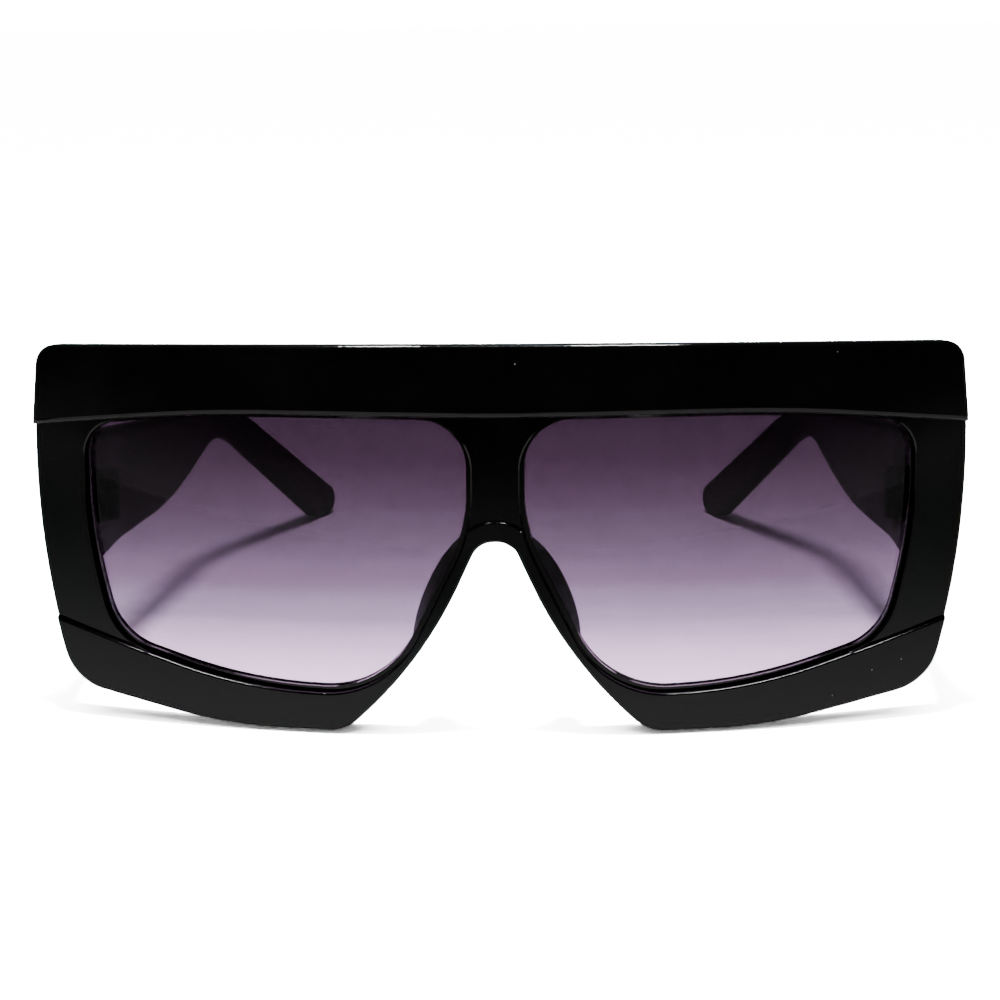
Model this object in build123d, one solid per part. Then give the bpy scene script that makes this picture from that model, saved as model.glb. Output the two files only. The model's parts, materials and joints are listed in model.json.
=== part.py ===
from build123d import *
import os
from math import atan2, cos, degrees, hypot, pi, radians, sin, tan

os.makedirs("parts", exist_ok=True)

# Flat top sunglasses. They are drawn as worn, with the front upright and the temples level,
# X across the face, Y back towards the ears and Z up from the front's lowest edge.
# The whole is then tipped until the front and both temple tips stand on the ground.

# Front, all lengths in millimetres
FRONT_WIDTH = 149.0
FRONT_HEIGHT = 60.4
FRONT_CURVE_RADIUS = 230.0
STEP_DEPTH = 2.0
LENS_SETBACK = 3.8
LENS_THICKNESS = 1.8
RIM_BEHIND_LENS = 0.8
EDGE_ROUND = 0.8
WING_ROUND = 0.35
BACK_ROUND = 0.8
RECESS_ROUND = 0.5
OPENING_ROUND = 0.25

# Corners of the front's outer edge from the top down to beside the nose, one row each:
# shares of the half width and of the height, and the corner's radius as a share of the height.
# The side also bends where the raised bar ends, by a radius of its own.
OUTER_CORNER_SHARES = [
    (0.985, 1.000, 0.055),
    (1.000, 0.460, 2.000),
    (0.923, 0.102, 0.150),
    (0.573, 0.007, 1.400),
]
SIDE_BEND_RADIUS = 40.0

# Nose opening
NOSE_FOOT_WIDTH = 47.4
NOSE_ARCH_HEIGHT = 29.9
NOSE_ARCH_RADIUS = 3.7
NOSE_ARCH_FLAT = 0.4
NOSE_FOOT_RADIUS = 6.5
NOSE_SIDE_RADIUS = 66.0
NOSE_SIDE_SHARES = (0.475, 0.371)

# Raised bar along the top
BAR_HEIGHT = 11.35
BAR_RISE = 0.7
BAR_END_DROP = 1.45
BAR_RISE_RADIUS = 250.0
BAR_RISE_SHARE = 0.6

# Raised wings along the bottom, and the ridge that carries them over the nose
WING_RISE = 1.0
RIDGE_WIDTH = 3.2
RIDGE_LEG = 11.0
WING_BEND_RADIUS = 8.0
WING_CORNER_SHARES = [(1.020, 0.298), (0.740, 0.184), (0.296, 0.232)]

# Lens openings
BRIDGE_WIDTH = 7.6
SIDE_RIM = 8.5
LOWER_RIM = 5.7
OPENING_BELOW_BAR = 0.35
OPENING_TOP_RADII = (8.0, 5.4)
OPENING_NOSE_SHARES = (0.717, 1.054)
OPENING_NOSE_RADII = (17.0, 25.0)

# The corners of a lens opening down its outer side and along its foot: shares of its
# width and height, and the radius as a share of its height
OPENING_CORNER_SHARES = [
    (1.000, 0.572, 1.650),
    (0.929, 0.172, 0.252),
    (0.570, 0.013, 2.060),
]

# Ledge inside each opening, in front of the lens and narrower along the top,
# and the lens in its groove
LEDGE_WIDTH = 0.7
TOP_LEDGE_WIDTH = 0.15
LEDGE_SETBACK = 2.9
LENS_LIP = 0.8
GROOVE_CLEARANCE = 0.05

# Moulded nose pads
PAD_RADIUS = 11.4
PAD_REACH = 5.5
PAD_THICKNESS = 3.0
PAD_CROWN = 0.6
PAD_ROUND = 0.8
PAD_HEIGHT = 21.9
PAD_FROM_CENTRE = 8.4
PAD_LEAN_ANGLE = 26.0
PAD_FLARE_ANGLE = 20.0
PAD_LENS_GAP = 0.35

# Endpieces, which carry the hinges behind the front's upper corners
TEMPLE_INSET = 8.7
TEMPLE_THICKNESS = 4.6
TEMPLE_TOP = 45.2
TEMPLE_FRONT_HEIGHT = 20.8
BUTT_GAP = 0.1
ENDPIECE_LENGTH = 5.2
ENDPIECE_HEIGHT = 27.6
ENDPIECE_RISE = 2.0
ENDPIECE_ROUND = 5.0
ENDPIECE_CORNER = 2.6
ENDPIECE_TAPER = 4.0
ENDPIECE_ROOT = 0.6

# Temples: lengths back from the hinge, and drops below the temple's top
BEND_BACK = 78.8
TEMPLE_LENGTH = 121.5
TIP_LENGTH = 7.6
TIP_DROP = 27.2
TIP_HEIGHT = 5.5
WAIST_BACK = 74.2
WAIST_DROP = 4.4
BELLY_BACK = 41.9
BELLY_DROP = 16.0
BEND_RADIUS = 43.0
WAIST_RADIUS = 20.0
BELLY_RADIUS = 100.0
TIP_HEEL_RADIUS = 3.0
TIP_TOE_RADIUS = 3.5
TIP_TOP_RADIUS = 3.0
TEMPLE_ROUND = 1.1
STRAIGHT_BACK = 13.0
CURVE_BACK = 70.5
CURVE_IN = 6.7
TIP_IN = 24.8
PLAN_RADIUS = 60.0
EAR_THICKNESS = 3.9

# Hinges
KNUCKLE_RADIUS = 1.3
KNUCKLE_HEIGHT = 1.5
KNUCKLE_COUNT = 5
KNUCKLE_GAP = 0.1
KNUCKLE_CLEARANCE = 0.3
PIN_RADIUS = 0.7
PIN_CLEARANCE = 0.05
PIN_HEAD_RADIUS = 1.15
PIN_HEAD_HEIGHT = 0.6
DRIVER_SLOT = 0.3
DRIVER_SLOT_DEPTH = 0.25
LEAF_THICKNESS = 1.0
LEAF_LENGTH = 7.2
LEAF_RELIEF = 0.45
LEAF_CORNER = 0.8
HINGE_HEIGHT = 35.0
LEAF_SCREW_RADIUS = 0.5
LEAF_SCREW_HEAD_RADIUS = 0.9
LEAF_SCREW_HEAD_HEIGHT = 0.4
LEAF_SCREW_LENGTH = 3.4
LEAF_SCREW_PLACES = (3.2, 5.9)
LEAF_SCREW_CLEARANCE = 0.03

# Reach of cutting bodies beyond what they cut, how finely places are compared,
# how much of a side its two rounded corners may take, and rounds of a stepwise solution
OVERRUN = 5.0
FINENESS = 0.02
CORNER_ROOM_SHARE = 0.98
SOLVING_ROUNDS = 50
FIRST_NOSE_ANGLE = 60.0
STEEPEST_LEAN_ANGLE = 45.0

# Worked out from the sizes above
HALF_WIDTH = FRONT_WIDTH / 2
FRONT_DEPTH = LENS_SETBACK + LENS_THICKNESS + RIM_BEHIND_LENS
BACK_RADIUS = FRONT_CURVE_RADIUS - FRONT_DEPTH
RECESS_RADIUS = FRONT_CURVE_RADIUS - STEP_DEPTH
RAISED_ROOT_RADIUS = (RECESS_RADIUS + BACK_RADIUS) / 2
WING_RADIUS = RECESS_RADIUS + WING_RISE
LEDGE_RADIUS = FRONT_CURVE_RADIUS - LEDGE_SETBACK
LENS_RADIUS = FRONT_CURVE_RADIUS - LENS_SETBACK
BEHIND_LEDGE_RISE = LEDGE_WIDTH - TOP_LEDGE_WIDTH
BAR_BOTTOM = FRONT_HEIGHT - BAR_HEIGHT
BAR_END = BAR_BOTTOM - BAR_END_DROP
BAR_PEAK = HALF_WIDTH * BAR_RISE_SHARE
INNER_WALL = HALF_WIDTH - TEMPLE_INSET
OUTER_WALL = INNER_WALL + TEMPLE_THICKNESS
PIVOT_X = INNER_WALL - KNUCKLE_RADIUS - KNUCKLE_CLEARANCE
HINGE_PITCH = KNUCKLE_HEIGHT + KNUCKLE_GAP
HINGE_TALL = KNUCKLE_COUNT * HINGE_PITCH - KNUCKLE_GAP
HINGE_BOTTOM = HINGE_HEIGHT - HINGE_TALL / 2
SAG = FRONT_CURVE_RADIUS - (FRONT_CURVE_RADIUS**2 - HALF_WIDTH**2) ** 0.5
HINGE_SETBACK = SAG + FRONT_DEPTH + ENDPIECE_LENGTH

ACROSS = Plane(origin=(0, 0, 0), x_dir=(1, 0, 0), z_dir=(0, -1, 0))
SIDEWAYS = Plane(origin=(0, 0, 0), x_dir=(0, 1, 0), z_dir=(1, 0, 0))
UP = (Align.CENTER, Align.CENTER, Align.MIN)
DOWN = (Align.CENTER, Align.CENTER, Align.MAX)


def fitted_radii(corners):
    """The corners' radii, made smaller where two neighbours would not fit on one side."""
    count = len(corners)
    radii = []
    tangents = []
    for i in range(count):
        x, y, radius = corners[i]
        before = atan2(y - corners[i - 1][1], x - corners[i - 1][0])
        after = atan2(corners[(i + 1) % count][1] - y, corners[(i + 1) % count][0] - x)
        turn = abs((degrees(after - before) + 180) % 360 - 180)
        radii.append(radius)
        tangents.append(radius * tan(radians(turn) / 2))
    limits = [1.0] * count
    for i in range(count):
        j = (i + 1) % count
        side = hypot(corners[j][0] - corners[i][0], corners[j][1] - corners[i][1])
        room = CORNER_ROOM_SHARE * side / max(tangents[i] + tangents[j], FINENESS)
        limits[i] = min(limits[i], room)
        limits[j] = min(limits[j], room)
    return [radius * limit for radius, limit in zip(radii, limits)]


def rounded_face(corners, plane):
    """A flat face on a plane whose corners are (across, up, radius)."""
    points = [(x, y) for x, y, _ in corners]
    with BuildSketch(plane) as sketch:
        with BuildLine():
            FilletPolyline(*points, radius=fitted_radii(corners), close=True)
        make_face()
    return sketch.sketch


def prism_back(corners):
    """A front view outline carried back through the whole front."""
    deep = SAG + FRONT_DEPTH + HINGE_SETBACK
    return Pos(0, -OVERRUN, 0) * extrude(rounded_face(corners, ACROSS), -deep)


def drum(radius):
    """The upright drum of one radius about the centre of the front's curve."""
    tall = FRONT_HEIGHT + 2 * OVERRUN
    place = Pos(0, FRONT_CURVE_RADIUS, -OVERRUN)
    return place * Cylinder(radius, tall, align=UP)


def edges_at(solid, radius):
    """The edges of a solid that lie on the drum of one radius."""
    found = []
    for edge in solid.edges():
        places = [edge.position_at(share) for share in (0.0, 0.5, 1.0)]
        misses = [abs(hypot(p.X, p.Y - FRONT_CURVE_RADIUS) - radius) for p in places]
        if max(misses) < FINENESS:
            found.append(edge)
    return found


def mirrored_loop(half):
    """A closed loop of corners from its right half, listed down the right side."""
    return half + [(-x, y, radius) for x, y, radius in reversed(half)]


def nose_corners():
    """The nose opening's right side, from its foot up to the arch."""
    foot = NOSE_FOOT_WIDTH / 2
    across, up = NOSE_SIDE_SHARES
    side = (foot * across, NOSE_ARCH_HEIGHT * up, NOSE_SIDE_RADIUS)
    slope = nose_slope(side[0], side[1])
    arch = (NOSE_ARCH_FLAT / 2 + NOSE_ARCH_RADIUS * tan(slope / 2), NOSE_ARCH_HEIGHT, NOSE_ARCH_RADIUS)
    return [(foot, 0, NOSE_FOOT_RADIUS), side, arch]


def nose_slope(side_x, side_z):
    """The angle from level of the nose opening's upper side, tangent to its arch."""
    slope = radians(FIRST_NOSE_ANGLE)
    for _ in range(SOLVING_ROUNDS):
        arch_x = NOSE_ARCH_FLAT / 2 + NOSE_ARCH_RADIUS * tan(slope / 2)
        slope = atan2(NOSE_ARCH_HEIGHT - side_z, side_x - arch_x)
    return slope


def front_outline():
    """The whole outer edge of the front, with the nose opening."""
    outer = [
        (HALF_WIDTH * x, FRONT_HEIGHT * z, FRONT_HEIGHT * radius)
        for x, z, radius in OUTER_CORNER_SHARES
    ]
    outer.insert(1, (HALF_WIDTH, BAR_END, SIDE_BEND_RADIUS))
    return mirrored_loop(outer + nose_corners())


def bar_line(across):
    """The height of the raised bar's lower edge, which rises to a peak over each lens."""
    if across < BAR_PEAK:
        return BAR_BOTTOM + BAR_RISE * across / BAR_PEAK
    fall = (BAR_BOTTOM + BAR_RISE - BAR_END) / (HALF_WIDTH - BAR_PEAK)
    return BAR_BOTTOM + BAR_RISE - fall * (across - BAR_PEAK)


def bar_mask():
    """What the raised bar covers, past the front's edge on three sides."""
    wide = HALF_WIDTH + OVERRUN
    half = [
        (wide, FRONT_HEIGHT + OVERRUN, 0),
        (wide, bar_line(wide), 0),
        (BAR_PEAK, bar_line(BAR_PEAK), BAR_RISE_RADIUS),
    ]
    right = half + [(0, BAR_BOTTOM, BAR_RISE_RADIUS)]
    return right + [(-x, z, radius) for x, z, radius in reversed(half)]


def lower_mask():
    """What the raised wings and the ridge over the nose cover."""
    _, side, arch = nose_corners()
    slope = nose_slope(side[0], side[1])
    top_x = arch[0] + RIDGE_WIDTH * tan(slope / 2)
    top_z = NOSE_ARCH_HEIGHT + RIDGE_WIDTH
    wings = [
        (HALF_WIDTH * x, FRONT_HEIGHT * z, WING_BEND_RADIUS * (x < 1))
        for x, z in WING_CORNER_SHARES
    ]
    leg = (top_x + RIDGE_LEG / tan(slope), top_z - RIDGE_LEG, WING_BEND_RADIUS)
    top = (top_x, top_z, NOSE_ARCH_RADIUS + RIDGE_WIDTH)
    below = (HALF_WIDTH + OVERRUN, -OVERRUN, 0)
    return mirrored_loop([below] + wings + [leg, top])


def opening_corners(lip, top_rise):
    """The right lens opening, its top edge raised, then grown by a lip on every side."""
    left = BRIDGE_WIDTH / 2
    right = HALF_WIDTH - SIDE_RIM
    bottom = LOWER_RIM
    wide = right - left
    tall = bar_line(BAR_PEAK) - OPENING_BELOW_BAR - bottom
    nose_top_radius, outer_top_radius = OPENING_TOP_RADII
    top = [(left, nose_top_radius), (BAR_PEAK, BAR_RISE_RADIUS), (right, outer_top_radius)]
    corners = [(x, bar_line(x) - OPENING_BELOW_BAR + top_rise, radius) for x, radius in top]
    corners += [
        (left + wide * x, bottom + tall * z, tall * radius)
        for x, z, radius in OPENING_CORNER_SHARES
    ]
    foot_share, arch_share = OPENING_NOSE_SHARES
    foot_radius, side_radius = OPENING_NOSE_RADII
    corners.append((NOSE_FOOT_WIDTH / 2 * foot_share, bottom, foot_radius))
    corners.append((left, NOSE_ARCH_HEIGHT * arch_share, side_radius))
    return grown(corners, lip)


def grown(corners, lip):
    """A clockwise loop of corners with every side moved out by the lip."""
    count = len(corners)
    result = []
    for i in range(count):
        x, y, radius = corners[i]
        before = atan2(y - corners[i - 1][1], x - corners[i - 1][0])
        after = atan2(corners[(i + 1) % count][1] - y, corners[(i + 1) % count][0] - x)
        half_turn = (after - before) / 2
        while half_turn > radians(90):
            half_turn -= radians(180)
        while half_turn < radians(-90):
            half_turn += radians(180)
        outward = before + half_turn + radians(90)
        reach = lip / cos(half_turn)
        result.append((x + reach * cos(outward), y + reach * sin(outward), radius + lip))
    return result


def raised(mask, radius, edge_round):
    """The part of the front inside a mask that stands proud, rooted in the middle face."""
    body = prism_back(front_outline()) & drum(radius) & prism_back(mask)
    body = body - drum(RAISED_ROOT_RADIUS) - both(opening_cut())
    return fillet(edges_at(body, radius), edge_round)


def recessed_plate():
    """The middle face, set back behind the bar and the wings, with its outer edges rounded."""
    plate = prism_back(front_outline()) & drum(RECESS_RADIUS)
    plate = plate - drum(BACK_RADIUS)
    plate = fillet(edges_at(plate, RECESS_RADIUS), RECESS_ROUND)
    plate = fillet(edges_at(plate, BACK_RADIUS), BACK_ROUND)
    outer = plate.edges()
    plate = plate - both(opening_cut())
    rims = [e for e in edges_at(plate, RECESS_RADIUS) if e not in outer]
    return chamfer(rims, OPENING_ROUND)


def opening_cut():
    """The right lens opening through the whole front, wider as far in as its ledge."""
    start = FRONT_CURVE_RADIUS + OVERRUN
    before_ledge = lens_hole(0, 0, start, LEDGE_RADIUS)
    end = BACK_RADIUS - RIM_BEHIND_LENS
    through = lens_hole(-LEDGE_WIDTH, BEHIND_LEDGE_RISE, start, end)
    return before_ledge + through


def endpiece():
    """The right endpiece: a return behind the front that ends at the hinge."""
    rear = HINGE_SETBACK - BUTT_GAP
    start = SAG - OVERRUN
    side = HALF_WIDTH + EDGE_ROUND
    plan = [
        (INNER_WALL, start, 0),
        (side, start, 0),
        (side, rear - ENDPIECE_TAPER - ENDPIECE_CORNER, ENDPIECE_ROUND),
        (OUTER_WALL, rear - ENDPIECE_CORNER, ENDPIECE_ROUND),
        (OUTER_WALL, rear, 0),
        (INNER_WALL, rear, 0),
    ]
    top = TEMPLE_TOP + ENDPIECE_RISE
    profile = [
        (start, top - ENDPIECE_HEIGHT, 0),
        (rear - ENDPIECE_TAPER - ENDPIECE_CORNER, top - ENDPIECE_HEIGHT, ENDPIECE_CORNER),
        (rear, TEMPLE_TOP - TEMPLE_FRONT_HEIGHT, 0),
        (rear, TEMPLE_TOP, 0),
        (rear - ENDPIECE_TAPER, top, ENDPIECE_CORNER),
        (start, top, 0),
    ]
    body = extrude(rounded_face(plan, Plane.XY), FRONT_HEIGHT)
    body = body & extrude(rounded_face(profile, SIDEWAYS), FRONT_WIDTH)
    for across in (OUTER_WALL, INNER_WALL):
        for up in (TEMPLE_TOP - TEMPLE_FRONT_HEIGHT, TEMPLE_TOP):
            body = fillet(edge_from(body, Vector(across, rear, up)), TEMPLE_ROUND)
    return body & prism_back(front_outline()) & drum(BACK_RADIUS + ENDPIECE_ROOT)


def edge_from(body, corner):
    """The edge of a body that leaves a rear corner towards the front."""
    leaving = [e for e in body.edges() if e.bounding_box().size.Y > FINENESS]
    ends = [min((e.position_at(end) - corner).length for end in (0, 1)) for e in leaving]
    return leaving[ends.index(min(ends))]


def nose_pad():
    """The right nose pad: part of a domed disc behind the nose rim, clear of the lens."""
    dome_radius = (PAD_RADIUS**2 + PAD_CROWN**2) / (2 * PAD_CROWN)
    dome = Pos(0, 0, PAD_THICKNESS / 2 - dome_radius) * Sphere(dome_radius)
    disc = Cylinder(PAD_RADIUS, PAD_THICKNESS) & dome
    disc = disc & (Rot(180, 0, 0) * dome)
    disc = fillet(disc.edges().filter_by(lambda e: e.length > 2 * pi * PAD_RADIUS - FINENESS), PAD_ROUND)
    pad = Pos(0, PAD_REACH - PAD_RADIUS, 0) * Rot(0, 90, 0) * disc
    pad = Rot(0, -PAD_LEAN_ANGLE, 0) * Rot(0, 0, -PAD_FLARE_ANGLE) * pad
    pad = Pos(PAD_FROM_CENTRE, FRONT_DEPTH, PAD_HEIGHT) * pad
    pad = pad & drum(LENS_RADIUS - LENS_THICKNESS - PAD_LENS_GAP)
    return pad & prism_back(front_outline())


def lens_hole(lip, top_rise, front_radius, back_radius):
    """The right lens opening between two drums, its top raised and its edge grown by a lip."""
    hole = prism_back(opening_corners(lip, top_rise)) & drum(front_radius)
    return hole - drum(back_radius)


def both(solid):
    """A right-hand body and its mirror image."""
    return solid + mirror(solid, about=Plane.YZ)


def leaf_screw_holes(direction):
    """Holes for the two leaf screws, forward or back from the hinge."""
    radius = LEAF_SCREW_RADIUS + LEAF_SCREW_CLEARANCE
    reach = LEAF_SCREW_LENGTH + LEAF_SCREW_CLEARANCE
    hole = Rot(0, 90, 0) * Cylinder(radius, reach, align=UP)
    places = [
        Pos(INNER_WALL - LEAF_THICKNESS, HINGE_SETBACK + direction * away, HINGE_HEIGHT)
        for away in LEAF_SCREW_PLACES
    ]
    return [place * hole for place in places]


def front_frame():
    """The front in one moulding, with endpieces, lens grooves and nose pads."""
    body = recessed_plate() + raised(bar_mask(), FRONT_CURVE_RADIUS, EDGE_ROUND)
    body = body + raised(lower_mask(), WING_RADIUS, WING_ROUND)
    body = body + both(endpiece() - opening_cut())
    lip = LENS_LIP - LEDGE_WIDTH + GROOVE_CLEARANCE
    behind_lens = LENS_RADIUS - LENS_THICKNESS - GROOVE_CLEARANCE
    groove = lens_hole(lip, BEHIND_LEDGE_RISE, LENS_RADIUS + GROOVE_CLEARANCE, behind_lens)
    body = body - both(groove)
    body = body + both(nose_pad())
    for hole in leaf_screw_holes(-1):
        body = body - both(hole)
    return body


def lens():
    """The right lens, curved like the front and seated in its groove."""
    lip = LENS_LIP - LEDGE_WIDTH
    return lens_hole(lip, BEHIND_LEDGE_RISE, LENS_RADIUS, LENS_RADIUS - LENS_THICKNESS)


def temple_profile():
    """The right temple from the side: (back, up, radius) corners."""
    start = HINGE_SETBACK + BUTT_GAP
    end = HINGE_SETBACK + TEMPLE_LENGTH
    bottom = TEMPLE_TOP - TIP_DROP
    return [
        (start, TEMPLE_TOP, 0),
        (HINGE_SETBACK + BEND_BACK, TEMPLE_TOP, BEND_RADIUS),
        (end, bottom + TIP_HEIGHT, TIP_TOP_RADIUS),
        (end, bottom, TIP_TOE_RADIUS),
        (end - TIP_LENGTH, bottom, TIP_HEEL_RADIUS),
        (HINGE_SETBACK + WAIST_BACK, TEMPLE_TOP - WAIST_DROP, WAIST_RADIUS),
        (HINGE_SETBACK + BELLY_BACK, TEMPLE_TOP - BELLY_DROP, BELLY_RADIUS),
        (start, TEMPLE_TOP - TEMPLE_FRONT_HEIGHT, 0),
    ]


def temple_plan():
    """The right temple from above: (across, back, radius) corners."""
    start = HINGE_SETBACK + BUTT_GAP
    straight = HINGE_SETBACK + STRAIGHT_BACK
    curve = HINGE_SETBACK + CURVE_BACK
    end = HINGE_SETBACK + TEMPLE_LENGTH + OVERRUN
    curve_x = INNER_WALL - CURVE_IN
    end_x = curve_x - (TIP_IN - CURVE_IN) * (end - curve) / (TEMPLE_LENGTH - CURVE_BACK)
    return [
        (INNER_WALL, start, 0),
        (INNER_WALL, straight, PLAN_RADIUS),
        (curve_x, curve, PLAN_RADIUS),
        (end_x, end, 0),
        (end_x + EAR_THICKNESS, end, 0),
        (curve_x + EAR_THICKNESS, curve, PLAN_RADIUS + EAR_THICKNESS),
        (OUTER_WALL, straight, PLAN_RADIUS + TEMPLE_THICKNESS),
        (OUTER_WALL, start, 0),
    ]


def temple():
    """The right temple: straight from the hinge, then bent down and in behind the ear."""
    body = extrude(rounded_face(temple_profile(), SIDEWAYS), FRONT_WIDTH)
    body = body & extrude(rounded_face(temple_plan(), Plane.XY), FRONT_HEIGHT)
    seams = body.edges().filter_by(Axis.X) + body.edges().filter_by(Axis.Z)
    body = fillet([e for e in body.edges() if e not in seams], TEMPLE_ROUND)
    for hole in leaf_screw_holes(1):
        body = body - hole
    return body


def knuckle(level):
    """One hinge knuckle with its bore, counted from the bottom."""
    height = KNUCKLE_HEIGHT
    ring = Cylinder(KNUCKLE_RADIUS, height, align=UP)
    return Pos(PIVOT_X, HINGE_SETBACK, HINGE_BOTTOM + level * HINGE_PITCH) * ring


def hinge_leaf(direction, levels):
    """A leaf on the inner wall, forward or back from the pin, with its own knuckles."""
    relief = KNUCKLE_RADIUS + LEAF_RELIEF
    long = LEAF_LENGTH - relief
    middle = HINGE_SETBACK + direction * (relief + long / 2)
    plate = Pos(INNER_WALL - LEAF_THICKNESS / 2, middle, HINGE_HEIGHT)
    leaf = plate * Box(LEAF_THICKNESS, long, HINGE_TALL)
    corners = leaf.edges().filter_by(Axis.X)
    leaf = fillet([e for e in corners if direction * (e.center().Y - middle) > 0], LEAF_CORNER)
    web_deep = PIVOT_X + KNUCKLE_RADIUS - (INNER_WALL - LEAF_THICKNESS)
    web = Box(web_deep, relief, KNUCKLE_HEIGHT)
    web_x = PIVOT_X + KNUCKLE_RADIUS - web_deep / 2
    web_y = HINGE_SETBACK + direction * relief / 2
    for level in levels:
        web_z = HINGE_BOTTOM + level * HINGE_PITCH + KNUCKLE_HEIGHT / 2
        leaf = leaf + knuckle(level) + Pos(web_x, web_y, web_z) * web
    bore = Cylinder(PIN_RADIUS + PIN_CLEARANCE, HINGE_TALL + 2 * OVERRUN)
    leaf = leaf - Pos(PIVOT_X, HINGE_SETBACK, HINGE_HEIGHT) * bore
    for hole in leaf_screw_holes(direction):
        leaf = leaf - hole
    return leaf


def slotted_head(radius, height):
    """A screw head that stands on Z = 0 with a driver slot across its top."""
    head = Cylinder(radius, height, align=UP)
    slot = Box(2 * radius, DRIVER_SLOT, 2 * DRIVER_SLOT_DEPTH)
    return head - Pos(0, 0, height) * slot


def hinge_screw():
    """The screw through all five knuckles, which is the hinge's pin."""
    shank = Cylinder(PIN_RADIUS, HINGE_TALL, align=DOWN)
    screw = shank + slotted_head(PIN_HEAD_RADIUS, PIN_HEAD_HEIGHT)
    return Pos(PIVOT_X, HINGE_SETBACK, HINGE_BOTTOM + HINGE_TALL) * screw


def leaf_screws(direction):
    """The two screws that hold a leaf to its wall."""
    shank = Cylinder(LEAF_SCREW_RADIUS, LEAF_SCREW_LENGTH, align=DOWN)
    screw = shank + slotted_head(LEAF_SCREW_HEAD_RADIUS, LEAF_SCREW_HEAD_HEIGHT)
    screw = Rot(0, -90, 0) * screw
    places = [
        Pos(INNER_WALL - LEAF_THICKNESS, HINGE_SETBACK + direction * away, HINGE_HEIGHT)
        for away in LEAF_SCREW_PLACES
    ]
    return Compound([place * screw for place in places])


def surface_points(shape):
    """Points over the surface of a shape, to find where it touches the ground."""
    vertices, _ = shape.tessellate(FINENESS)
    return [(p.Y, p.Z) for p in vertices]


def lowest(points, lean):
    """The lowest height that points (back, up) reach once tipped back by an angle."""
    return min(z * cos(lean) - y * sin(lean) for y, z in points)


def resting_lean(front, arm):
    """The angle at which the front's lower edge and a temple's tip are equally low."""
    front_points = surface_points(front)
    arm_points = surface_points(arm)
    level, steep = 0.0, radians(STEEPEST_LEAN_ANGLE)
    for _ in range(SOLVING_ROUNDS):
        middle = (level + steep) / 2
        if lowest(arm_points, middle) > lowest(front_points, middle):
            level = middle
        else:
            steep = middle
    return (level + steep) / 2


FRONT_LEVELS = range(0, KNUCKLE_COUNT, 2)
TEMPLE_LEVELS = range(1, KNUCKLE_COUNT, 2)

one_sided = {
    "lens": lens(),
    "temple": temple(),
    "front_hinge_leaf": hinge_leaf(-1, FRONT_LEVELS),
    "temple_hinge_leaf": hinge_leaf(1, TEMPLE_LEVELS),
    "hinge_screw": hinge_screw(),
    "front_leaf_screws": leaf_screws(-1),
    "temple_leaf_screws": leaf_screws(1),
}
pieces = {"front_frame": front_frame()}
for name, right_piece in one_sided.items():
    pieces[name + "_right"] = right_piece
    pieces[name + "_left"] = mirror(right_piece, about=Plane.YZ)

LEAN = resting_lean(pieces["front_frame"], pieces["temple_right"])
tipped = {name: Rot(-degrees(LEAN), 0, 0) * piece for name, piece in pieces.items()}
whole = Compound([tipped["front_frame"], tipped["temple_right"]]).bounding_box()
STAND = Pos(0, -(whole.min.Y + whole.max.Y) / 2, -whole.min.Z)
for name, piece in tipped.items():
    export_step(STAND * piece, "parts/" + name + ".step")
print("lean", round(degrees(LEAN), 3), "shift", STAND.position)
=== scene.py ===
"""Looks of the flat top sunglasses: finishes for every piece, pale floor, soft light and camera.

All lengths are in metres. X runs across the face, Y from the front back to the temple tips and
Z up. The sunglasses stand on the floor, on the front's lower edge and the two temple tips.
"""
import json
import logging
import math
from dataclasses import dataclass
from enum import Enum

import bpy
from bpy.types import ColorRamp, Material, Node, NodeSocket, NodeTree
from mathutils import Euler, Matrix, Vector

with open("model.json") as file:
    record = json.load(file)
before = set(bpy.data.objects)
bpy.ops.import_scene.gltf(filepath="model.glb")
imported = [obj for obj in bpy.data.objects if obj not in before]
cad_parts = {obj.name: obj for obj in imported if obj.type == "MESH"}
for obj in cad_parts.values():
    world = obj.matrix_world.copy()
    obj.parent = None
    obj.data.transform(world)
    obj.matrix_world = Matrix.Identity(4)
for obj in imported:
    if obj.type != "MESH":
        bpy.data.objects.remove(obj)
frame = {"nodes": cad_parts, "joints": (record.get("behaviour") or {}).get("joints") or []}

LOG = logging.getLogger("sunglasses")

Colour = tuple[float, float, float]
Place = tuple[float, float, float]
Span = tuple[float, float]
Value = float | NodeSocket


class Side(Enum):
    """The wearer's two sides, as the pieces' names end."""

    LEFT = "left"
    RIGHT = "right"


class Grain(Enum):
    """Which way the fine marks of a metal finish run."""

    ALONG = (1.0, 0.02, 1.0)
    ROUND = (1.0, 1.0, 0.02)


class Mixture(Enum):
    """What a mix node blends, with the numbers of its two inputs and its output."""

    FLOAT = (2, 3, 0)
    RGBA = (6, 7, 2)


@dataclass(frozen=True)
class Mottle:
    """A cloudy pattern: the grain's size, its finer layers, and its stretch, where less is longer."""

    size: float
    detail: float
    stretch: tuple[float, float, float] = (1.0, 1.0, 1.0)


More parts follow.
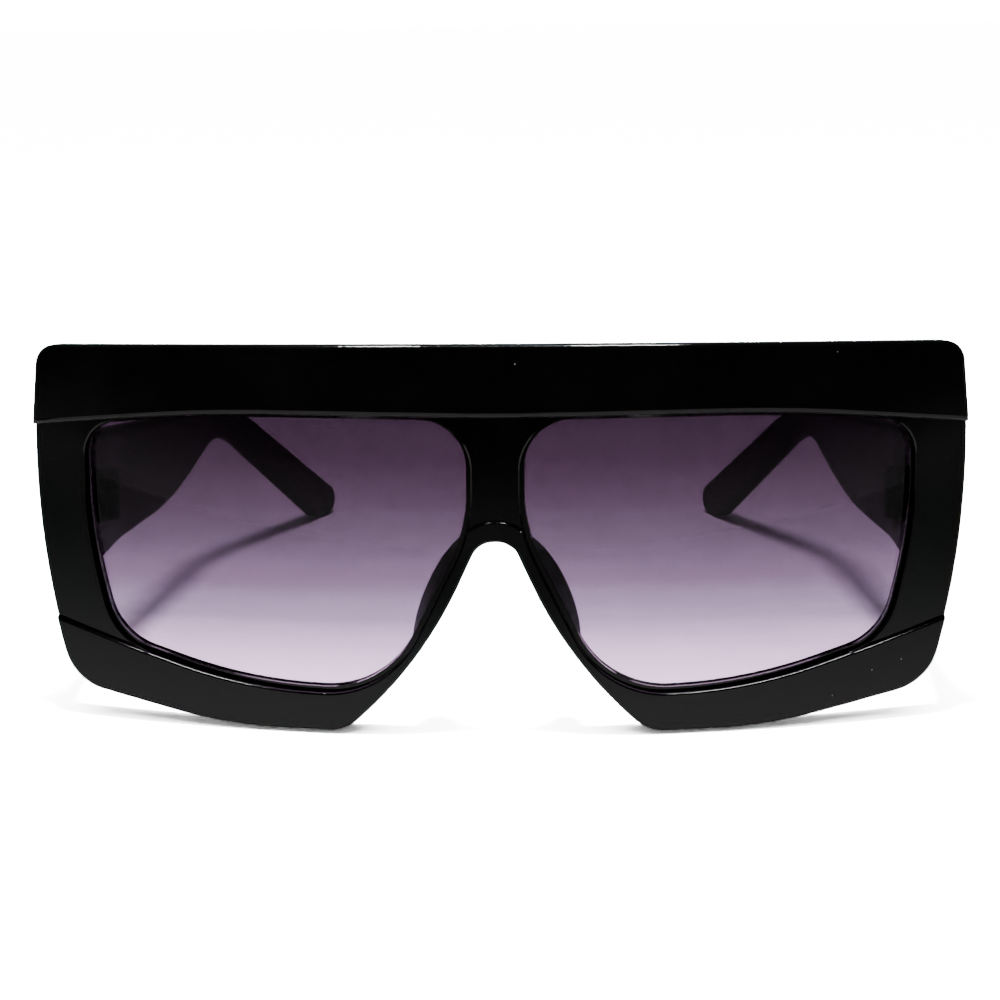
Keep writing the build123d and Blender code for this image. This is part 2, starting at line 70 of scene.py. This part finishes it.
class NodeGraph:
    """The nodes of a material or of the room, added one after another and joined by sockets."""

    def __init__(self, tree: NodeTree) -> None:
        """Start on a tree of nodes."""
        self.tree = tree

    def add(self, kind: str, inputs: dict | None = None, **settings: object) -> Node:
        """Add a node.

        Args:
            kind: The node's type name.
            inputs: Values or output sockets by input name or number.
            settings: Properties of the node.

        Returns:
            The new node.
        """
        node = self.tree.nodes.new(kind)
        for name, value in settings.items():
            setattr(node, name, value)
        for name, value in (inputs or {}).items():
            self.put(value, node.inputs[name])
        return node

    def put(self, value: object, target: NodeSocket) -> None:
        """Set an input, or link it.

        Args:
            value: A value, or the socket that it comes from.
            target: The input.
        """
        if isinstance(value, NodeSocket):
            self.tree.links.new(value, target)
        else:
            target.default_value = value

    def place(self) -> NodeSocket:
        """Return the object's own coordinates."""
        return self.add("ShaderNodeTexCoord").outputs["Object"]

    def math(self, operation: str, first: Value, second: Value) -> NodeSocket:
        """Return the result of a sum on two values.

        Args:
            operation: The sum's name.
            first: The first value.
            second: The second value.

        Returns:
            The result's socket.
        """
        node = self.add("ShaderNodeMath", {0: first, 1: second}, operation=operation)
        return node.outputs["Value"]

    def noise(self, mottle: Mottle) -> NodeSocket:
        """Return a cloudy pattern.

        Args:
            mottle: The pattern.

        Returns:
            The socket of its value, from 0 to 1.
        """
        scaled = self.add("ShaderNodeMapping", {"Vector": self.place(), "Scale": mottle.stretch})
        grain = {"Vector": scaled.outputs["Vector"], "Scale": 1.0 / mottle.size, "Detail": mottle.detail}
        return self.add("ShaderNodeTexNoise", grain).outputs["Fac"]

    def span(self, value: NodeSocket, source: Span, target: Span, step: str = "LINEAR") -> NodeSocket:
        """Return a value moved from one range to another, held at its ends.

        Args:
            value: The value's socket.
            source: The range it comes in.
            target: The range it goes to.
            step: How it runs between the ends, straight or smooth.

        Returns:
            The result's socket.
        """
        inputs = {"Value": value, 1: source[0], 2: source[1], 3: target[0], 4: target[1]}
        return self.add("ShaderNodeMapRange", inputs, interpolation_type=step).outputs["Result"]

    def mix(self, kind: Mixture, share: Value, first: object, second: object) -> NodeSocket:
        """Return a mix of two values or colours.

        Args:
            kind: What is mixed.
            share: How much of the second there is.
            first: The first value or colour, or its socket.
            second: The second value or colour, or its socket.

        Returns:
            The mix's socket.
        """
        first_input, second_input, output = kind.value
        inputs = {0: share, first_input: first, second_input: second}
        return self.add("ShaderNodeMix", inputs, data_type=kind.name).outputs[output]

    def relief(self, height: NodeSocket, depth: float, below: NodeSocket | None = None) -> NodeSocket:
        """Return a surface's normal with a relief.

        Args:
            height: The relief's height from 0 to 1.
            depth: The relief's real depth.
            below: The normal that it adds to, if there is one.

        Returns:
            The normal's socket.
        """
        inputs = {"Height": height, "Distance": depth, "Strength": 1.0}
        if below is not None:
            inputs["Normal"] = below
        return self.add("ShaderNodeBump", inputs).outputs["Normal"]


class SurfaceGraph(NodeGraph):
    """A material's nodes, which end in its principled surface."""

    def __init__(self, name: str) -> None:
        """Start a material.

        Args:
            name: The material's name.
        """
        self.material = bpy.data.materials.new(name)
        self.material.use_nodes = True
        super().__init__(self.material.node_tree)

    def feed(self, **inputs: object) -> Material:
        """Finish the surface.

        Args:
            inputs: Values or sockets by input name, with spaces as underscores.

        Returns:
            The material.
        """
        surface = self.tree.nodes["Principled BSDF"]
        for name, value in inputs.items():
            self.put(value, surface.inputs[name.replace("_", " ")])
        return self.material


def opaque(colour: Colour) -> tuple[float, float, float, float]:
    """Return a colour with full opacity."""
    return (*colour, 1.0)


@dataclass(frozen=True)
class PolishedMoulding:
    """Polished black plastic with faint ripples, smudges and a few specks of dust."""

    name: str
    colour: Colour = (0.0016, 0.0016, 0.0018)
    smudge_colour: Colour = (0.0030, 0.0029, 0.0032)
    dust_colour: Colour = (0.55, 0.54, 0.52)
    roughness: float = 0.055
    smudge_roughness: float = 0.13
    dust_roughness: float = 0.6
    gloss_level: float = 0.42
    smudge: Mottle = Mottle(0.014, 4.0)
    smudge_edge: Span = (0.45, 0.75)
    ripple: Mottle = Mottle(0.0085, 1.0)
    ripple_height: float = 0.0000012
    pores: Mottle = Mottle(0.0009, 3.0)
    pore_height: float = 0.00000005
    speck_spacing: float = 0.0016
    speck_share: float = 0.075
    chosen_share: float = 0.02

    def make(self) -> Material:
        """Make the finish.

        Returns:
            The material.
        """
        graph = SurfaceGraph(self.name)
        smudge = graph.span(graph.noise(self.smudge), self.smudge_edge, (0.0, 1.0))
        dust = self.dust(graph)
        shell = graph.mix(Mixture.RGBA, smudge, opaque(self.colour), opaque(self.smudge_colour))
        worn = graph.span(smudge, (0.0, 1.0), (self.roughness, self.smudge_roughness))
        dusty = graph.math("MULTIPLY", dust, self.dust_roughness)
        ripples = graph.relief(graph.noise(self.ripple), self.ripple_height)
        return graph.feed(
            Base_Color=graph.mix(Mixture.RGBA, dust, shell, opaque(self.dust_colour)),
            Roughness=graph.math("MAXIMUM", worn, dusty),
            Specular_IOR_Level=self.gloss_level,
            Normal=graph.relief(graph.noise(self.pores), self.pore_height, ripples),
        )

    def dust(self, graph: SurfaceGraph) -> NodeSocket:
        """Choose where specks of dust lie: at the middle of a few cells.

        Args:
            graph: The material's nodes.

        Returns:
            The socket of 1 on a speck and 0 elsewhere.
        """
        spacing = {"Vector": graph.place(), "Scale": 1.0 / self.speck_spacing}
        cells = graph.add("ShaderNodeTexVoronoi", spacing)
        near = graph.math("LESS_THAN", cells.outputs["Distance"], self.speck_share)
        draw = graph.add("ShaderNodeSeparateColor", {"Color": cells.outputs["Color"]})
        chosen = graph.math("LESS_THAN", draw.outputs["Red"], self.chosen_share)
        return graph.math("MULTIPLY", near, chosen)


@dataclass(frozen=True)
class GradientTint:
    """Tinted see-through plastic, dark purple at the top and nearly clear at the bottom.

    The tint follows the height up the front's face, from the lens's lowest line to its highest,
    and its stops are shares of that way.
    """

    name: str
    upright: Vector
    low: float
    high: float
    ior: float = 1.50
    roughness: float = 0.0
    streaks: Mottle = Mottle(0.0022, 2.0, stretch=(0.03, 1.0, 1.0))
    streak_share: float = 0.025
    stops: tuple[tuple[float, Colour], ...] = (
        (0.000, (0.900, 0.620, 0.940)),
        (0.140, (0.590, 0.382, 0.620)),
        (0.260, (0.258, 0.184, 0.304)),
        (0.400, (0.134, 0.086, 0.148)),
        (0.540, (0.076, 0.049, 0.084)),
        (0.680, (0.049, 0.028, 0.052)),
        (0.820, (0.032, 0.0165, 0.0335)),
        (1.000, (0.025, 0.0125, 0.0265)),
    )

    def make(self) -> Material:
        """Make the finish.

        Returns:
            The material.
        """
        graph = SurfaceGraph(self.name)
        along = {0: graph.place(), 1: self.upright}
        height = graph.add("ShaderNodeVectorMath", along, operation="DOT_PRODUCT").outputs["Value"]
        share = graph.span(height, (self.low, self.high), (0.0, 1.0))
        streaks = (-self.streak_share, self.streak_share)
        shift = graph.span(graph.noise(self.streaks), (0.0, 1.0), streaks)
        ramp = graph.add("ShaderNodeValToRGB", {"Fac": graph.math("ADD", share, shift)})
        self.set_stops(ramp.color_ramp)
        return graph.feed(
            Base_Color=ramp.outputs["Color"],
            Roughness=self.roughness,
            IOR=self.ior,
            Transmission_Weight=1.0,
        )

    def set_stops(self, ramp: ColorRamp) -> None:
        """Put the tint's stops on a ramp.

        Args:
            ramp: The ramp, which starts with a stop at each end.
        """
        for place, _ in self.stops[1:-1]:
            ramp.elements.new(place)
        for element, (place, colour) in zip(ramp.elements, self.stops):
            element.position = place
            element.color = opaque(colour)


@dataclass(frozen=True)
class CoatedSteel:
    """Black-coated steel with fine marks from its making, duller in patches."""

    name: str
    grain: Grain
    colour: Colour = (0.022, 0.022, 0.023)
    dull_colour: Colour = (0.012, 0.012, 0.0125)
    roughness: float = 0.26
    dull_roughness: float = 0.44
    mark_size: float = 0.00012
    mark_layers: float = 3.0
    mark_depth: float = 0.0000008
    dull_patches: Mottle = Mottle(0.0016, 3.0)
    patch_edge: Span = (0.42, 0.68)

    def make(self) -> Material:
        """Make the finish.

        Returns:
            The material.
        """
        graph = SurfaceGraph(self.name)
        marks = graph.noise(Mottle(self.mark_size, self.mark_layers, self.grain.value))
        patches = graph.span(graph.noise(self.dull_patches), self.patch_edge, (0.0, 1.0))
        dull = graph.math("MULTIPLY", patches, marks)
        return graph.feed(
            Base_Color=graph.mix(Mixture.RGBA, dull, opaque(self.colour), opaque(self.dull_colour)),
            Metallic=1.0,
            Roughness=graph.span(dull, (0.0, 1.0), (self.roughness, self.dull_roughness)),
            Normal=graph.relief(marks, self.mark_depth),
        )


def dress(node: str, material: Material) -> None:
    """Give a carried-over piece its finish.

    Args:
        node: The piece's name.
        material: The finish.
    """
    for holder in frame["nodes"][node].material_slots:
        holder.material = material
    LOG.info("%s wears %s", node, material.name)


@dataclass
class FrontAssembly:
    """The moulded front with its two lenses."""

    moulding: PolishedMoulding = PolishedMoulding("polished_black_front")

    def upright(self) -> Vector:
        """Return the direction up the front's face, which the hinge pins share."""
        return max((Vector(joint["axis"]) for joint in frame["joints"]), key=lambda axis: axis.z)

    def tint(self, side: Side) -> GradientTint:
        """Fit the tint to one lens.

        Args:
            side: The lens's side.

        Returns:
            The tint.
        """
        upright = self.upright()
        lens = frame["nodes"][f"lens_{side.value}"]
        heights = [vertex.co.dot(upright) for vertex in lens.data.vertices]
        return GradientTint(f"purple_tint_{side.value}", upright, min(heights), max(heights))

    def build(self) -> None:
        """Dress the front and its lenses."""
        dress("front_frame", self.moulding.make())
        for side in Side:
            dress(f"lens_{side.value}", self.tint(side).make())


@dataclass
class TempleAssembly:
    """The two temples with their hinges and screws."""

    moulding: PolishedMoulding = PolishedMoulding("polished_black_temple", smudge=Mottle(0.02, 4.0))
    leaf: CoatedSteel = CoatedSteel("black_coated_leaf", Grain.ALONG)
    screw: CoatedSteel = CoatedSteel("black_coated_screw", Grain.ROUND, roughness=0.16)

    def build(self) -> None:
        """Dress the temples, hinge leaves and screws, each kind in one finish."""
        temple, leaf, screw = self.moulding.make(), self.leaf.make(), self.screw.make()
        finishes = {
            "temple": temple,
            "front_hinge_leaf": leaf,
            "temple_hinge_leaf": leaf,
            "hinge_screw": screw,
            "front_leaf_screws": screw,
            "temple_leaf_screws": screw,
        }
        for side in Side:
            for piece, finish in finishes.items():
                dress(f"{piece}_{side.value}", finish)


@dataclass(frozen=True)
class Lamp:
    """One lamp over the sunglasses, which faces down, and what it lights."""

    name: str
    place: Place
    size: Span
    power: float
    lights_matt: bool = True
    mirrored: bool = True

    def build(self) -> None:
        """Hang the lamp."""
        bpy.ops.object.light_add(type="AREA", location=self.place)
        lamp = bpy.context.active_object
        lamp.name = self.name
        lamp.data.shape = "RECTANGLE"
        lamp.data.size, lamp.data.size_y = self.size
        lamp.data.energy = self.power
        lamp.visible_diffuse = self.lights_matt
        lamp.visible_transmission = self.lights_matt
        lamp.visible_glossy = self.mirrored


@dataclass
class Studio:
    """Pale floor, dim room, soft light from above and two lamps.

    The floor and the room are as bright as the polished pieces mirror them, and fade with
    distance; the floor's fade is painted shade, its colour darkened away from the sunglasses.
    What the eye sees past the sunglasses, and through their lenses, is brighter, as on a
    picture's white ground.
    """

    floor_reach: float = 12.0
    floor_colour: Colour = (0.56, 0.56, 0.56)
    # Painted shade: the floor's colour falls to this share between these distances from the middle,
    # standing in for lamplight that falls off.
    painted_far_shade_share: float = 0.80
    painted_shade_reach: Span = (0.25, 1.6)
    seen_gain: float = 90.0
    seen_through_gain: float = 3.55
    room_colour: Colour = (1.0, 1.0, 1.0)
    horizon_light: float = 0.22
    room_light: float = 0.02
    fade_rise: float = 0.045
    seen_room_light: float = 22.0
    seen_through_room_light: float = 1.5
    overhead_light: float = 0.9
    overhead_angle: float = math.radians(80.0)
    overhead_place: Place = (0.0, 0.0, 1.0)
    lamps: tuple[Lamp, ...] = (
        Lamp("soft_lamp", (-0.012, -0.03, 0.42), (0.09, 0.09), 2.0, mirrored=False),
        Lamp("glint_lamp", (-0.004, -0.03, 0.42), (0.19, 0.08), 5.5, lights_matt=False),
    )

    def gain(self, graph: NodeGraph, plain: NodeSocket, seen: float, through: float) -> NodeSocket:
        """Choose one of three values, by the kind of ray that meets the surface.

        Args:
            graph: The nodes that it joins.
            plain: The value for mirrored and scattered light.
            seen: The value straight to the eye.
            through: The value through a lens.

        Returns:
            The value's socket.
        """
        rays = graph.add("ShaderNodeLightPath").outputs
        value = graph.mix(Mixture.FLOAT, rays["Is Camera Ray"], plain, seen)
        return graph.mix(Mixture.FLOAT, rays["Is Transmission Ray"], value, through)

    def paper(self) -> Material:
        """Make the floor's pale matt paper, its colour darkened away from the middle as painted shade.

        Returns:
            The material.
        """
        material = bpy.data.materials.new("pale_paper")
        material.use_nodes = True
        graph = NodeGraph(material.node_tree)
        graph.tree.nodes.remove(graph.tree.nodes["Principled BSDF"])
        # Painted shade: the floor's colour darkens with distance from the middle, as fading lamplight
        # would.
        away = graph.add("ShaderNodeVectorMath", {0: graph.place()}, operation="LENGTH")
        levels = (1.0, self.painted_far_shade_share)
        plain = graph.span(away.outputs["Value"], self.painted_shade_reach, levels, "SMOOTHSTEP")
        level = self.gain(graph, plain, self.seen_gain, self.seen_through_gain)
        shade = {0: self.floor_colour, "Scale": level}
        tinted = graph.add("ShaderNodeVectorMath", shade, operation="SCALE")
        matt = graph.add("ShaderNodeBsdfDiffuse", {"Color": tinted.outputs["Vector"]})
        graph.put(matt.outputs["BSDF"], graph.tree.nodes["Material Output"].inputs["Surface"])
        return material

    def floor(self) -> None:
        """Lay the floor."""
        bpy.ops.object.select_all(action="DESELECT")
        bpy.ops.mesh.primitive_plane_add(size=2 * self.floor_reach)
        sheet = bpy.context.active_object
        sheet.name = "studio_floor"
        sheet.data.materials.append(self.paper())

    def overhead(self) -> None:
        """Light everything softly from above; polished surfaces don't mirror this light."""
        bpy.ops.object.light_add(type="SUN", location=self.overhead_place)
        light = bpy.context.active_object
        light.name = "soft_overhead"
        light.data.energy = self.overhead_light
        light.data.angle = self.overhead_angle
        light.visible_glossy = False

    def room(self) -> None:
        """Put a dim room round the floor, brightest at its horizon."""
        world = bpy.data.worlds.new("dim_room")
        world.use_nodes = True
        graph = NodeGraph(world.node_tree)
        direction = graph.add("ShaderNodeTexCoord").outputs["Generated"]
        rise = graph.add("ShaderNodeSeparateXYZ", {"Vector": direction}).outputs["Z"]
        levels = (self.horizon_light, self.room_light)
        plain = graph.span(rise, (0.0, self.fade_rise), levels, "SMOOTHSTEP")
        level = self.gain(graph, plain, self.seen_room_light, self.seen_through_room_light)
        background = graph.tree.nodes["Background"]
        graph.put(opaque(self.room_colour), background.inputs["Color"])
        graph.put(level, background.inputs["Strength"])
        bpy.context.scene.world = world

    def build(self) -> None:
        """Build the studio."""
        self.floor()
        self.overhead()
        for lamp in self.lamps:
            lamp.build()
        self.room()


@dataclass(frozen=True)
class Viewpoint:
    """Where the camera stands and how it is turned."""

    place: Place = (0.01130, -0.36816, 0.11059)
    yaw: float = math.radians(-2.008)
    pitch: float = math.radians(13.813)
    roll: float = math.radians(-0.597)
    lens_mm: float = 72.22
    sensor_mm: float = 36.0
    nearest: float = 0.01

    def build(self) -> None:
        """Set up the camera and make it the scene's own."""
        bpy.ops.object.camera_add()
        camera = bpy.context.active_object
        camera.name = "camera"
        camera.data.lens = self.lens_mm
        camera.data.sensor_width = self.sensor_mm
        camera.data.clip_start = self.nearest
        turned = Euler((math.pi / 2 - self.pitch, 0.0, -self.yaw)).to_matrix()
        turned = turned @ Matrix.Rotation(self.roll, 3, "Z")
        camera.matrix_world = Matrix.Translation(self.place) @ turned.to_4x4()
        bpy.context.scene.camera = camera


def main() -> None:
    """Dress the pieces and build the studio."""
    logging.basicConfig(level=logging.INFO, format="%(name)s: %(message)s")
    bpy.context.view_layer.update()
    FrontAssembly().build()
    TempleAssembly().build()
    Studio().build()
    Viewpoint().build()


if __name__ == "__main__":
    main()
